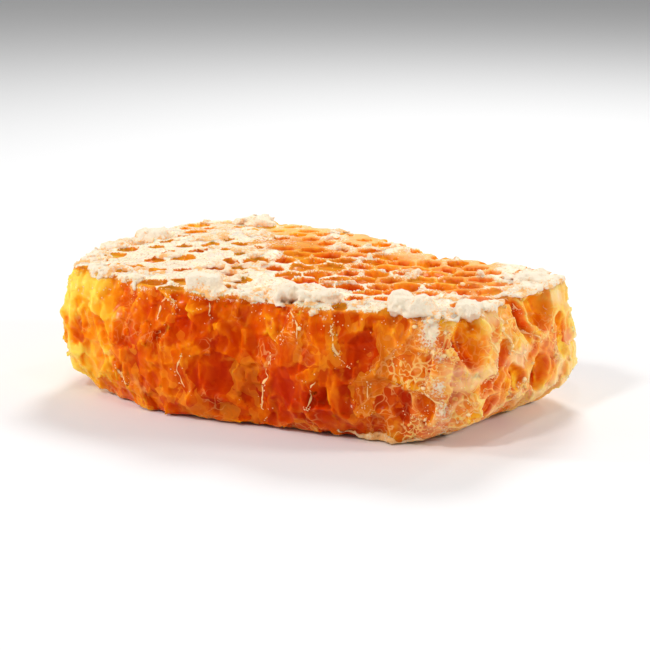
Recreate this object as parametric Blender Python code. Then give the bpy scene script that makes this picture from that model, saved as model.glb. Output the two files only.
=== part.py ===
"""A cut piece of honeycomb: two tiers of six-sided wax cells, back to back on one midrib.

The knife leaves half cells open all round the sides. The top shows open cells in its middle
and right part, and loose white lumps of capping wax lie along its edge. Units are metres in
the scene. The sizes below are millimetres, and MM turns them into metres.
"""

import math
import random

import bmesh
import bpy

MM = 0.001

# ---- the bees' measures ----
CELL_PITCH = 5.4
WALL = 0.8
CELL_RADIUS = (CELL_PITCH - WALL) / 2 / math.cos(math.radians(30))
TIER = 12.0
THICKNESS = 2 * TIER
MIDRIB = 1.4

# ---- the knife's measures ----
# Stations round the slab, seen from above: (x, y) of the top edge, (x, y) of the bottom edge.
STATIONS = [
    ((-41.5, -18.5), (-35.5, -17.5)),
    ((-33.0, -23.5), (-29.0, -23.5)),
    ((-20.0, -28.0), (-19.0, -28.5)),
    ((-8.0, -30.0), (-9.0, -28.8)),
    ((3.0, -27.5), (2.0, -27.6)),
    ((15.0, -30.0), (13.0, -27.0)),
    ((28.0, -27.0), (23.0, -26.5)),
    ((41.5, -24.0), (31.5, -24.5)),
    ((43.5, -8.0), (36.0, -8.0)),
    ((45.5, 11.5), (41.5, 11.0)),
    ((35.0, 17.5), (34.0, 16.5)),
    ((18.0, 18.5), (18.0, 17.5)),
    ((2.0, 26.5), (2.0, 25.0)),
    ((-15.0, 30.5), (-14.0, 29.0)),
    ((-32.0, 31.5), (-29.0, 29.0)),
    ((-41.0, 21.0), (-36.0, 20.0)),
    ((-43.5, 2.0), (-37.5, 2.0)),
]
STEPS_PER_STATION = 3
BELLY = 2.4
FOOT_SHARE = 0.28
EDGE_ROUND = 1.3
CROWN = 1.2
CROWN_AT = (-14.0, 10.0)
CROWN_REACH = 24.0

# ---- the open cells ----
PIT_DEPTH = 1.5
PIT_CENTRE = (13.0, -2.0)
PIT_REACH = (26.0, 17.5)
PIT_EDGE_MARGIN = 5.0
BASE_DEPTH = 1.6
BASE_SHARE = 0.4
CUT_DEPTH = 0.6
RECESS = 1.5
RECESS_WAVE = 0.7
CORE_LEVELS = 3

# ---- lumps of capping wax on the top edge: x, y, length, width, height ----
LUMPS = [
    (-8.0, -25.8, 6.3, 4.8, 3.6),
    (13.0, -26.0, 12.5, 4.8, 3.3),
    (31.6, -23.6, 7.6, 4.8, 3.2),
    (39.8, -20.6, 5.0, 5.4, 3.2),
    (40.5, 7.0, 6.0, 4.4, 2.4),
    (-28.0, 27.0, 8.0, 5.0, 2.8),
    (-37.5, 6.0, 5.0, 6.5, 2.4),
]
LUMP_GAP = 0.3
LUMP_ROUGHNESS = 0.16
SEED = 11


def remove_scene_objects():
    for old in list(bpy.data.objects):
        bpy.data.objects.remove(old, do_unlink=True)


def material(name, colour, roughness):
    made = bpy.data.materials.new(name)
    made.use_nodes = True
    shader = made.node_tree.nodes["Principled BSDF"]
    shader.inputs["Base Color"].default_value = (*colour, 1.0)
    shader.inputs["Roughness"].default_value = roughness
    shader.inputs["Metallic"].default_value = 0.0
    return made


def spline_point(before, start, end, after, part):
    """A point on the smooth curve from start to end, in two dimensions."""
    return tuple(
        0.5
        * (
            2 * start[k]
            + (end[k] - before[k]) * part
            + (2 * before[k] - 5 * start[k] + 4 * end[k] - after[k]) * part**2
            + (3 * start[k] - before[k] - 3 * end[k] + after[k]) * part**3
        )
        for k in (0, 1)
    )


def smooth_ring(corners):
    """The closed curve through the corners, as evenly numbered points."""
    count = len(corners)
    ring = []
    for i in range(count):
        four = [corners[(i + k) % count] for k in (-1, 0, 1, 2)]
        for step in range(STEPS_PER_STATION):
            ring.append(spline_point(*four, step / STEPS_PER_STATION))
    return ring


def grown(ring, amounts):
    """The ring moved outwards at each point by that point's amount."""
    count = len(ring)
    out = []
    for i, (x, y) in enumerate(ring):
        x_before, y_before = ring[i - 1]
        x_after, y_after = ring[(i + 1) % count]
        along_x = x_after - x_before
        along_y = y_after - y_before
        length = math.hypot(along_x, along_y)
        out.append((x + along_y / length * amounts[i], y - along_x / length * amounts[i]))
    return out


def side_ring(height, amounts):
    """The slab's outline at a height, grown by the amounts."""
    share = height / THICKNESS
    leaning = math.sin(math.pi / 2 * min(1.0, share / FOOT_SHARE))
    corners = [
        tuple(low[k] + (high[k] - low[k]) * leaning for k in (0, 1)) for high, low in STATIONS
    ]
    belly = BELLY * math.sin(math.pi * share)
    return grown(smooth_ring(corners), [belly + amount for amount in amounts])


def top_height(x, y):
    """The height of the top face, which rises a little towards the back left."""
    away = math.hypot(x - CROWN_AT[0], y - CROWN_AT[1]) / CROWN_REACH
    return THICKNESS + CROWN * math.exp(-away * away)


def closed_rings(name, rings):
    """One closed body from rings of points: a flat face on the first, a fan on the last."""
    body = bmesh.new()
    rows = [[body.verts.new([c * MM for c in point]) for point in ring] for ring in rings]
    count = len(rows[0])
    for low, high in zip(rows, rows[1:]):
        for i in range(count):
            j = (i + 1) % count
            body.faces.new((low[i], low[j], high[j], high[i]))
    body.faces.new(list(reversed(rows[0])))
    centre = [sum(vert.co[k] for vert in rows[-1]) / count for k in (0, 1, 2)]
    hub = body.verts.new(centre)
    for i in range(count):
        body.faces.new((rows[-1][i], rows[-1][(i + 1) % count], hub))
    return finish(name, body)


def finish(name, body):
    """A scene object from a bmesh, with its faces turned outwards."""
    bmesh.ops.recalc_face_normals(body, faces=body.faces)
    mesh = bpy.data.meshes.new(name)
    body.to_mesh(mesh)
    body.free()
    made = bpy.data.objects.new(name, mesh)
    bpy.context.scene.collection.objects.link(made)
    return made


def slab(name):
    """The cut slab before its cells are opened: barrel sides, rounded rims, a soft crown."""
    count = len(STATIONS) * STEPS_PER_STATION
    rings = []
    for height, inset in (
        (0.0, 0.6 * EDGE_ROUND),
        (0.5 * EDGE_ROUND, 0.0),
        (0.15 * TIER, 0.0),
        (0.35 * TIER, 0.0),
        (0.65 * TIER, 0.0),
        (TIER, 0.0),
        (1.5 * TIER, 0.0),
        (THICKNESS - EDGE_ROUND, 0.0),
        (THICKNESS - 0.4 * EDGE_ROUND, 0.4 * EDGE_ROUND),
    ):
        rings.append([(x, y, height) for x, y in side_ring(height, [-inset] * count)])
    rim = side_ring(THICKNESS, [-EDGE_ROUND] * count)
    for share in (1.0, 0.85, 0.65, 0.4):
        rings.append([(x * share, y * share, top_height(x * share, y * share)) for x, y in rim])
    return closed_rings(name, rings)


def core(name):
    """The honey that stands back behind the cut cell walls, deeper in some cells than in others."""
    count = len(STATIONS) * STEPS_PER_STATION
    rings = []
    for level in range(CORE_LEVELS + 1):
        height = -1.0 + (THICKNESS + 4.0) * level / CORE_LEVELS
        amounts = []
        for i in range(count):
            turn = 2 * math.pi * i / count
            wave = math.sin(11 * turn + 0.25 * height) * math.cos(5 * turn - 0.4 * height)
            amounts.append(-RECESS - RECESS_WAVE * wave)
        inside = min(max(height, 0.0), THICKNESS)
        rings.append([(x, y, height) for x, y in side_ring(inside, amounts)])
    return closed_rings(name, rings)


def cell_centres(shift):
    """Centres of the cells in one tier. The tiers are half a cell apart, as bees build them."""
    column_step = CELL_PITCH * math.cos(math.radians(30))
    for column in range(-11, 12):
        for row in range(-8, 9):
            x = column * column_step + shift[0]
            y = (row + 0.5 * (column % 2)) * CELL_PITCH + shift[1]
            yield x, y


def cell_corners(x, y, size):
    """The six corners of a cell, two of which point along X."""
    turns = [math.radians(60 * corner) for corner in range(6)]
    return [(x + size * math.cos(turn), y + size * math.sin(turn)) for turn in turns]


def add_cell(body, x, y, levels):
    """A six-sided prism inside one cell's walls, from (height, radius) levels, lowest first."""
    rings = []
    for height, size in levels:
        corners = cell_corners(x, y, size)
        rings.append([body.verts.new((cx * MM, cy * MM, height * MM)) for cx, cy in corners])
    for lower, upper in zip(rings, rings[1:]):
        for i in range(6):
            j = (i + 1) % 6
            body.faces.new((lower[i], lower[j], upper[j], upper[i]))
    body.faces.new(list(reversed(rings[0])))
    body.faces.new(rings[-1])


def distance_inside(ring, x, y):
    """How far a point lies inside the ring: negative when it is outside."""
    nearest = math.inf
    crossings = 0
    for (ax, ay), (bx, by) in zip(ring, ring[1:] + ring[:1]):
        run_x, run_y = bx - ax, by - ay
        share = ((x - ax) * run_x + (y - ay) * run_y) / (run_x * run_x + run_y * run_y)
        share = min(1.0, max(0.0, share))
        nearest = min(nearest, math.hypot(x - ax - share * run_x, y - ay - share * run_y))
        if (ay > y) != (by > y) and x < ax + (y - ay) / run_y * run_x:
            crossings += 1
    return nearest if crossings % 2 else -nearest


def cut_through(ring, x, y):
    """Whether the knife's ring crosses this cell, with a fair part of it on either side."""
    if abs(distance_inside(ring, x, y)) > CELL_PITCH:
        return False
    depths = [distance_inside(ring, *corner) for corner in cell_corners(x, y, CELL_RADIUS)]
    return min(depths) < -CUT_DEPTH and max(depths) > CUT_DEPTH


def side_cells(name):
    """The cells that the knife went through, in both tiers."""
    count = len(STATIONS) * STEPS_PER_STATION
    body = bmesh.new()
    half_column = CELL_PITCH / 2 / math.cos(math.radians(30))
    base = (MIDRIB / 2, BASE_SHARE * CELL_RADIUS)
    shoulder = (MIDRIB / 2 + BASE_DEPTH, CELL_RADIUS)
    mouth = (TIER - EDGE_ROUND, CELL_RADIUS)
    upper = [(TIER + away, radius) for away, radius in (base, shoulder, mouth)]
    lower = [(TIER - away, radius) for away, radius in (mouth, shoulder, base)]
    for shift, levels in (((0.0, 0.0), upper), ((half_column, 0.0), lower)):
        low, high = levels[0][0], levels[-1][0]
        heights = [low + (high - low) * share for share in (0.2, 0.5, 0.8)]
        knife = [side_ring(height, [0.0] * count) for height in heights]
        for x, y in cell_centres(shift):
            if any(cut_through(ring, x, y) for ring in knife):
                add_cell(body, x, y, levels)
    return finish(name, body)


def top_cells(name, chance):
    """The open cells on the top face, filled with honey to a little below their rims."""
    count = len(STATIONS) * STEPS_PER_STATION
    rim = side_ring(THICKNESS, [0.0] * count)
    body = bmesh.new()
    for x, y in cell_centres((0.0, 0.0)):
        across = (x - PIT_CENTRE[0]) / PIT_REACH[0]
        along = (y - PIT_CENTRE[1]) / PIT_REACH[1]
        ragged_edge = 1.0 + 0.35 * (chance.random() - 0.5)
        open_cell = across * across + along * along < ragged_edge
        if open_cell and distance_inside(rim, x, y) > PIT_EDGE_MARGIN:
            depth = PIT_DEPTH * (0.7 + 0.6 * chance.random())
            surface = top_height(x, y)
            add_cell(body, x, y, [(surface - depth, CELL_RADIUS), (surface + 2.0, CELL_RADIUS)])
    return finish(name, body)


def cut(target, tool):
    """Cut the tool out of the target, and hide the tool as a guide."""
    step = target.modifiers.new(tool.name, "BOOLEAN")
    step.operation = "DIFFERENCE"
    step.solver = "EXACT"
    step.object = tool
    tool.hide_render = True
    tool.display_type = "WIRE"


def wax_lump(name, place, chance):
    """A crumbly lump of capping wax, flattened where it lies on the comb."""
    x, y, length, width, height = place
    body = bmesh.new()
    bmesh.ops.create_uvsphere(body, u_segments=10, v_segments=6, radius=1.0)
    dents = [chance.uniform(1.2, 2.2) for _ in range(3)]
    phases = [chance.uniform(0.0, 6.3) for _ in range(3)]
    turn = chance.uniform(-0.35, 0.35)
    for vert in body.verts:
        swell = 1.0
        for k in range(3):
            swell += LUMP_ROUGHNESS * math.sin(dents[k] * vert.co[k] * 2 + phases[k])
        along = vert.co.x * length / 2 * swell
        across = vert.co.y * width / 2 * swell
        px = x + along * math.cos(turn) - across * math.sin(turn)
        py = y + along * math.sin(turn) + across * math.cos(turn)
        seat = top_height(px, py) + LUMP_GAP
        pz = max(seat, seat + height * (0.3 + 0.62 * vert.co.z * swell))
        vert.co = (px * MM, py * MM, pz * MM)
    return finish(name, body)


def centre_on_base(made):
    """Put the origin under the middle of the whole piece, at the height that it rests on."""
    bpy.context.view_layer.update()
    corners = [part.matrix_world @ vert.co for part in made for vert in part.data.vertices]
    middle = [(min(c[k] for c in corners) + max(c[k] for c in corners)) / 2 for k in (0, 1)]
    for part in made:
        for vert in part.data.vertices:
            vert.co.x -= middle[0]
            vert.co.y -= middle[1]


def build():
    remove_scene_objects()
    chance = random.Random(SEED)
    honey_wax = material("honey_comb", (0.80, 0.24, 0.02), 0.2)
    white_wax = material("white_wax", (0.90, 0.76, 0.55), 0.6)

    comb = slab("comb")
    comb.data.materials.append(honey_wax)
    honey = core("honey_core")
    pockets = side_cells("side_cells")
    cut(pockets, honey)
    pits = top_cells("top_cells", chance)
    cut(comb, pockets)
    cut(comb, pits)

    lumps = []
    for number, place in enumerate(LUMPS, start=1):
        lump = wax_lump(f"wax_lump_{number}", place, chance)
        lump.data.materials.append(white_wax)
        lump.data.shade_smooth()
        lumps.append(lump)
    centre_on_base([comb, honey, pockets, pits, *lumps])


build()
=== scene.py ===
import math
from itertools import combinations, product

import bpy
import numpy as np
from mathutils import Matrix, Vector


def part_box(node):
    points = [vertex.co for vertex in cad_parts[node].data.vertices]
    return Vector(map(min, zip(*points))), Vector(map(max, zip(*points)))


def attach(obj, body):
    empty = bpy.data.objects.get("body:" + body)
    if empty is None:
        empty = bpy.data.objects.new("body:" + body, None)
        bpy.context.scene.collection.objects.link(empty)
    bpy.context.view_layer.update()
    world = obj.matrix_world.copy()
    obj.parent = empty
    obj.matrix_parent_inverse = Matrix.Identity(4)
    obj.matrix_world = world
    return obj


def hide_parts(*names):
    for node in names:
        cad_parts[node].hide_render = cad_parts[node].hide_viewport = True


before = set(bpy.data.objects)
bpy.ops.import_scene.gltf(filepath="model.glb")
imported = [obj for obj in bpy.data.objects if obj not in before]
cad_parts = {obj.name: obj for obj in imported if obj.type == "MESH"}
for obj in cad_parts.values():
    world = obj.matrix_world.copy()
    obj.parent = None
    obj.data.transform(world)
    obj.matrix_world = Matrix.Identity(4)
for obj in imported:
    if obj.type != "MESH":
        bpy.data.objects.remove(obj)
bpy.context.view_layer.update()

# ---- The tabletop, the camera and the lamps ----
# The piece stands alone on a plain pale sweep. Most light comes from behind and from the ends,
# so that the thin comb glows; a front lamp opens the shadows, and small lamps make it sparkle.

MM = 0.001
comb_low, comb_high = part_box("comb")
slab_middle = ((comb_low + comb_high) / 2).to_2d() / MM
slab_height = (comb_high.z - comb_low.z) / MM

VIEW_AZIMUTH = 27.0
VIEW_ELEVATION = 14.0
VIEW_DISTANCE = 420.0
LENS = 124.0
AIM_HEIGHT = 12.0
FLOOR_SIZE = 6.0
FLOOR_DROP = 0.0002


def from_azimuth(azimuth, elevation, distance, height):
    """A place seen from the piece's middle: azimuth 0 is in front, and it turns to the right."""
    turn, lift = math.radians(azimuth), math.radians(elevation)
    flat = math.cos(lift) * distance
    return (
        flat * math.sin(turn) * MM,
        -flat * math.cos(turn) * MM,
        (height + math.sin(lift) * distance) * MM,
    )


def aim(thing):
    """Turn a camera or a lamp towards the piece's middle, and put it in the scene."""
    direction = Vector((0, 0, AIM_HEIGHT * MM)) - thing.location
    thing.rotation_euler = direction.to_track_quat("-Z", "Y").to_euler()
    bpy.context.scene.collection.objects.link(thing)


def set_inputs(node, **values):
    """Set a node's named inputs; a name has _ for each space."""
    for name, value in values.items():
        node.inputs[name.replace("_", " ")].default_value = value


def finish(name, **values):
    """A new material with the steady values of its shader set."""
    material = bpy.data.materials.new(name)
    material.use_nodes = True
    set_inputs(material.node_tree.nodes["Principled BSDF"], **values)
    return material


camera = bpy.data.objects.new("camera", bpy.data.cameras.new("camera"))
camera.data.lens = LENS
camera.data.clip_start = 0.01
camera.location = from_azimuth(VIEW_AZIMUTH, VIEW_ELEVATION, VIEW_DISTANCE, AIM_HEIGHT)
aim(camera)
bpy.context.scene.camera = camera

for lamp_name, azimuth, elevation, distance, size, power in (
    ("back lamp", 198.0, 46.0, 520.0, 160.0, 1.2),
    ("left lamp", -68.0, 24.0, 480.0, 90.0, 0.8),
    ("front lamp", -12.0, 46.0, 620.0, 80.0, 1.08),
    ("right lamp", 106.0, 26.0, 480.0, 90.0, 0.85),
    ("left sparkle lamp", -40.0, 22.0, 520.0, 8.0, 0.15),
    ("middle sparkle lamp", 22.0, 62.0, 520.0, 8.0, 0.15),
    ("right sparkle lamp", 62.0, 30.0, 520.0, 8.0, 0.15),
    ("rear sparkle lamp", 160.0, 35.0, 520.0, 8.0, 0.15),
):
    lamp = bpy.data.objects.new(lamp_name, bpy.data.lights.new(lamp_name, "AREA"))
    lamp.data.shape = "DISK"
    lamp.data.size = size * MM
    lamp.data.energy = power
    lamp.location = from_azimuth(azimuth, elevation, distance, 0.0)
    aim(lamp)

world = bpy.data.worlds.new("studio")
world.use_nodes = True
set_inputs(world.node_tree.nodes["Background"], Color=(1.0, 1.0, 1.0, 1.0), Strength=0.3)
bpy.context.scene.world = world
bpy.context.scene.view_settings.view_transform = "Standard"

bpy.ops.mesh.primitive_plane_add(size=FLOOR_SIZE, location=(0, 0, -FLOOR_DROP))
floor = bpy.context.object
floor.name = "sweep"
floor_finish = finish("pale sweep", Base_Color=(0.86, 0.86, 0.86, 1.0), Roughness=0.7)
floor.data.materials.append(floor_finish)


# ---- The comb: honey-filled wax cells, cut through all round ----
# Bees build two tiers of six-sided wax cells, back to back on one midrib, and fill them with
# honey. The knife has opened half cells on every side: their walls stand as thin ridges, and
# the honey has sunk back between them. The top is part open cells and part capping wax.

CELL_PITCH = 5.4
TIER = 12.0
THICKNESS = 2 * TIER
HALF_COLUMN = CELL_PITCH / 2 / math.cos(math.radians(30))
# Stations round the slab, seen from above: (x, y) of the top edge, (x, y) of the bottom edge.
STATIONS = [
    ((-41.5, -18.5), (-35.5, -17.5)),
    ((-33.0, -23.5), (-29.0, -23.5)),
    ((-20.0, -28.0), (-19.0, -28.5)),
    ((-8.0, -30.0), (-9.0, -28.8)),
    ((3.0, -27.5), (2.0, -27.6)),
    ((15.0, -30.0), (13.0, -27.0)),
    ((28.0, -27.0), (23.0, -26.5)),
    ((41.5, -24.0), (31.5, -24.5)),
    ((43.5, -8.0), (36.0, -8.0)),
    ((45.5, 11.5), (41.5, 11.0)),
    ((35.0, 17.5), (34.0, 16.5)),
    ((18.0, 18.5), (18.0, 17.5)),
    ((2.0, 26.5), (2.0, 25.0)),
    ((-15.0, 30.5), (-14.0, 29.0)),
    ((-32.0, 31.5), (-29.0, 29.0)),
    ((-41.0, 21.0), (-36.0, 20.0)),
    ((-43.5, 2.0), (-37.5, 2.0)),
]
STEPS_PER_STATION = 5
# How far the sides bulge at half height, and the share of the height in which the foot spreads.
BELLY = 2.4
FOOT_SHARE = 0.28
# The top face's low rise, and the ellipse of open cells on it.
CROWN = 1.2
CROWN_AT = (-14.0, 10.0)
CROWN_REACH = 24.0
OPEN_CENTRE = (14.0, -3.0)
OPEN_REACH = (27.0, 17.0)
# Where the narrow right end begins and is full, along x.
RIGHT_END = (24.0, 42.0)
# The grid that the shapes are worked out in, and how deep round the skin in full.
STEP = 0.3
MARGIN = 2.5
LEVELS = 13
SKIN_BAND = (-4.8, 1.5)
FACE_LIMIT = 195000
# Random tables have this many places each way, and start again after their last place.
TABLE = (32, 32, 32)
WRAP = 31
LUCKY_NUMBERS = 1009
CORNERS = list(product((0, 1), repeat=3))
# Cells that the knife has opened: middle x, y, z, half width, half height, depth, lean, darkness.
POCKETS = [
    (42.5, -24.5, 18.6, 3.0, 4.9, 2.8, 0.05, -0.06),
    (45.8, -0.9, 20.0, 4.3, 3.8, 3.2, -0.15, -0.12),
    (45.2, -6.8, 18.6, 2.2, 4.6, 2.4, -0.45, 0.14),
    (46.7, -2.3, 9.0, 3.2, 4.0, 2.2, 0.1, -0.02),
    (45.6, -10.5, 10.0, 2.8, 3.2, 1.8, -0.2, 0.12),
    (44.6, -16.5, 14.0, 2.4, 4.6, 2.0, 0.35, 0.05),
    (46.8, 6.0, 15.0, 2.6, 4.4, 2.0, -0.1, 0.05),
    (43.5, -19.5, 6.0, 2.6, 3.4, 1.7, 0.2, 0.08),
    (24.6, -30.0, 16.2, 3.3, 3.5, 1.9, 0.2, 0.18),
    (31.7, -28.7, 7.4, 1.9, 3.6, 2.4, 0.0, 0.2),
    (35.6, -28.4, 7.6, 2.2, 3.3, 1.9, 0.1, 0.02),
    (22.0, -31.0, 9.6, 1.5, 1.4, 1.8, 0.0, 0.22),
    (30.9, -27.4, 20.6, 1.7, 2.2, 1.8, 0.0, 0.1),
    (27.8, -29.5, 11.6, 2.6, 2.2, 1.3, 0.5, 0.1),
    (-5.8, -31.0, 18.6, 2.9, 2.2, 1.9, 0.1, 0.22),
    (-10.6, -31.2, 16.6, 2.3, 2.4, 2.1, 0.0, 0.3),
    (-3.0, -31.5, 14.2, 1.6, 2.5, 2.2, 0.1, 0.34),
    (-7.6, -31.7, 9.0, 2.4, 3.4, 1.8, 0.0, 0.18),
    (-3.4, -31.8, 8.8, 2.0, 3.8, 1.2, 0.1, 0.14),
    (3.2, -29.3, 7.2, 2.2, 4.2, 2.6, 0.15, 0.36),
    (9.8, -30.6, 9.0, 2.4, 4.2, 1.4, 0.0, 0.2),
    (14.6, -31.8, 7.0, 1.3, 2.4, 2.2, 0.0, 0.36),
    (17.6, -31.6, 19.2, 3.2, 1.9, 1.5, 0.2, 0.16),
    (9.2, -29.5, 20.4, 2.0, 1.7, 1.6, 0.0, 0.2),
    (-27.0, -27.2, 19.4, 3.9, 3.3, 1.5, 0.0, -0.05),
    (-20.6, -29.6, 19.4, 2.6, 4.0, 1.1, 0.0, 0.05),
    (-20.0, -30.0, 8.6, 2.2, 4.2, 1.3, 0.1, 0.0),
    (-14.4, -31.2, 8.8, 2.6, 4.2, 1.4, 0.25, -0.06),
    (-32.0, -25.8, 11.0, 2.4, 3.2, 1.2, 0.0, -0.06),
    (-42.6, -8.0, 12.0, 2.6, 4.0, 2.0, 0.1, 0.0),
    (-43.4, 8.0, 16.0, 2.6, 4.6, 2.2, -0.1, 0.0),
    (-20.0, 31.5, 14.0, 2.8, 4.6, 2.0, 0.1, 0.1),
    (8.0, 23.5, 12.0, 2.6, 4.4, 2.0, -0.1, 0.1),
    (28.0, 19.5, 15.0, 2.8, 4.2, 2.0, 0.1, 0.05),
]


def curve(a, b, c, d, t):
    """The place a share t of the way from b to c on a smooth curve through all four."""
    return (
        b
        + 0.5 * (c - a) * t
        + 0.5 * (2 * a - 5 * b + 4 * c - d) * t**2
        + 0.5 * (3 * b - a - 3 * c + d) * t**3
    )


def side_ring(height):
    """The slab's outline at a height, as a closed line of points."""
    share = height / THICKNESS
    leaning = math.sin(math.pi / 2 * min(1.0, share / FOOT_SHARE))
    high, low = np.array(STATIONS).transpose(1, 0, 2)
    start = low + (high - low) * leaning
    before, end, after = (np.roll(start, -k, axis=0) for k in (-1, 1, 2))
    steps = [
        curve(before, start, end, after, step / STEPS_PER_STATION)
        for step in range(STEPS_PER_STATION)
    ]
    ring = np.stack(steps, axis=1).reshape(-1, 2)
    along = np.roll(ring, -1, axis=0) - np.roll(ring, 1, axis=0)
    along /= np.linalg.norm(along, axis=1)[:, None]
    outwards = np.stack([along[:, 1], -along[:, 0]], axis=1)
    return ring + outwards * BELLY * math.sin(math.pi * share)


def ring_distance(ring, x, y):
    """Distance from each place to the ring: negative inside it."""
    nearest = np.full(np.broadcast(x, y).shape, 1e9, np.float32)
    inside = np.zeros(nearest.shape, bool)
    for (ax, ay), (bx, by) in zip(ring, np.roll(ring, -1, axis=0)):
        run_x, run_y = bx - ax, by - ay
        share = ((x - ax) * run_x + (y - ay) * run_y) / (run_x**2 + run_y**2)
        share = np.clip(share, 0.0, 1.0)
        nearest = np.minimum(
            nearest, (x - ax - share * run_x) ** 2 + (y - ay - share * run_y) ** 2
        )
        crossing = ((ay > y) != (by > y)) & (x < ax + (y - ay) / (run_y or 1e-9) * run_x)
        inside ^= crossing
    distance = np.sqrt(nearest)
    return np.where(inside, -distance, distance)


def cloud(at, size, seed):
    """Smooth random hills and hollows from -1 to 1, each about the given size across."""
    table = np.random.default_rng(seed).uniform(-1.0, 1.0, TABLE).astype(np.float32)
    corner, weight = [], []
    for place in at:
        scaled = np.asarray(place / size + 16.0, np.float32)
        whole = np.floor(scaled)
        part = scaled - whole
        part = part * part * (3.0 - 2.0 * part)
        corner.append(whole.astype(np.int32) & WRAP)
        weight.append((1.0 - part, part))
    total = 0.0
    for i, j, k in CORNERS:
        value = table[(corner[0] + i) & WRAP, (corner[1] + j) & WRAP, (corner[2] + k) & WRAP]
        total = total + value * (weight[0][i] * weight[1][j] * weight[2][k])
    return total


def ease(low, high, value):
    """0 below low, 1 above high, and a smooth rise between them."""
    part = np.clip((value - low) / (high - low), 0.0, 1.0)
    return part * part * (3.0 - 2.0 * part)


def cells(x, y):
    """Each place's distance from its cell's wall, and its cell's centre and own number."""
    column_step = CELL_PITCH * math.cos(math.radians(30))
    q = x / column_step
    r = y / CELL_PITCH - q / 2
    s = -q - r
    q_cell, r_cell, s_cell = np.round(q), np.round(r), np.round(s)
    q_off, r_off, s_off = abs(q_cell - q), abs(r_cell - r), abs(s_cell - s)
    q_worst = (q_off > r_off) & (q_off > s_off)
    r_worst = ~q_worst & (r_off > s_off)
    q_cell = np.where(q_worst, -r_cell - s_cell, q_cell)
    r_cell = np.where(r_worst, -q_cell - s_cell, r_cell)
    centre_x = q_cell * column_step
    centre_y = (r_cell + q_cell / 2) * CELL_PITCH
    across, along = (x - centre_x) * math.cos(math.radians(30)), (y - centre_y) * 0.5
    reach = np.maximum(np.maximum(abs(across + along), abs(across - along)), abs(2 * along))
    number = (q_cell * 37 + r_cell * 101).astype(np.int32)
    return CELL_PITCH / 2 - reach, centre_x, centre_y, number


def luck(number, seed):
    """A random share from 0 to 1 for each cell."""
    table = np.random.default_rng(seed).uniform(0.0, 1.0, LUCKY_NUMBERS).astype(np.float32)
    return table[number % LUCKY_NUMBERS]


def smooth_max(a, b, width):
    """The larger of two distances, rounded where they meet."""
    overlap = np.clip(1.0 - abs(a - b) / width, 0.0, 1.0)
    return np.maximum(a, b) + overlap * overlap * width / 4


def top_height(x, y):
    """The height of the top face, which rises a little towards the back left."""
    away = ((x - CROWN_AT[0]) ** 2 + (y - CROWN_AT[1]) ** 2) / CROWN_REACH**2
    return THICKNESS + CROWN * np.exp(-away)


def facets(x, y, z, size, tall, seed):
    """Split space into rough blocks: distance from the block's edge, its number, its tilt."""
    random = np.random.default_rng(seed)
    jitter = random.uniform(0.2, 0.8, (*TABLE, 3)).astype(np.float32)
    slope = random.uniform(-1.0, 1.0, (*TABLE, 3)).astype(np.float32)
    scaled = [x / size, y / size, z / tall]
    whole = [np.floor(place - 0.5).astype(np.int32) for place in scaled]
    first = np.full(x.shape, 1e9, np.float32)
    second = first.copy()
    number = np.zeros(x.shape, np.int32)
    tilt = np.zeros(x.shape, np.float32)
    for corner in CORNERS:
        at = tuple((start + step) & WRAP for start, step in zip(whole, corner))
        seeds, slopes = jitter[at], slope[at]
        away = [scaled[k] - (whole[k] + corner[k]) - seeds[..., k] for k in range(3)]
        distance = away[0] ** 2 + away[1] ** 2 + away[2] ** 2
        closer = distance < first
        second = np.where(closer, first, np.minimum(second, distance))
        lean = away[0] * slopes[..., 0] + away[1] * slopes[..., 1] + away[2] * slopes[..., 2]
        tilt = np.where(closer, lean, tilt)
        number = np.where(closer, np.ravel_multi_index(at, TABLE), number)
        first = np.where(closer, distance, first)
    edge = (np.sqrt(second) - np.sqrt(first)) * size / 2
    return edge, number, tilt * size


def wax_patches(at):
    """Where capping wax lies thick on the top face, above 0, and thin, below it."""
    return cloud(at, 6.5, 19) + 0.5 * cloud(at, 2.8, 40)


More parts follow.
